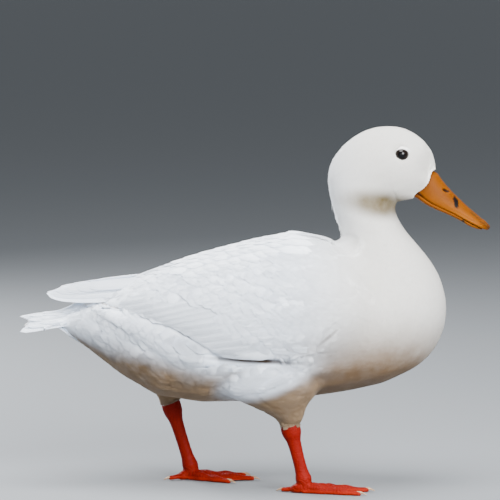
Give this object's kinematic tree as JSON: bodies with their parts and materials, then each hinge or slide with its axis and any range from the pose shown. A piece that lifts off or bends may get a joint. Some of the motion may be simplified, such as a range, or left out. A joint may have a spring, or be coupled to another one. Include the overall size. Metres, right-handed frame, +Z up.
{
  "type": "duck",
  "caption": "White farm duck in mid-step, life size: plump level body, upright curved neck, folded wings, spread tail, broad orange bill and webbed feet.",
  "frame": {"origin": "on the floor under the middle of the bounding box", "axes": "+X forward, the way the duck faces; +Y to its left; +Z up"},
  "size_m": [0.414, 0.1672, 0.3185],
  "materials": {
    "plumage": "soft matte white feathers, creamier on breast and belly",
    "bill": "smooth orange skin over horn, satin",
    "legs": "scaly red-orange skin, satin",
    "claws": "dull brown horn",
    "eyes": "wet, near-black dark brown"
  },
  "bodies": {
    "root": {"bill_lower": "bill", "bill_upper": "bill", "claw_hind_left": "claws", "claw_hind_right": "claws", "claw_inner_left": "claws", "claw_inner_right": "claws", "claw_middle_left": "claws", "claw_middle_right": "claws", "claw_outer_left": "claws", "claw_outer_right": "claws", "eye_left": "eyes", "eye_right": "eyes", "foot_left": "legs", "foot_right": "legs", "head": "plumage", "neck": "plumage", "primaries_left": "plumage", "primaries_right": "plumage", "shank_left": "legs", "shank_right": "legs", "tail": "plumage", "thigh_left": "plumage", "thigh_right": "plumage", "trunk": "plumage", "wing_left": "plumage", "wing_right": "plumage"}
  },
  "joints": []
}
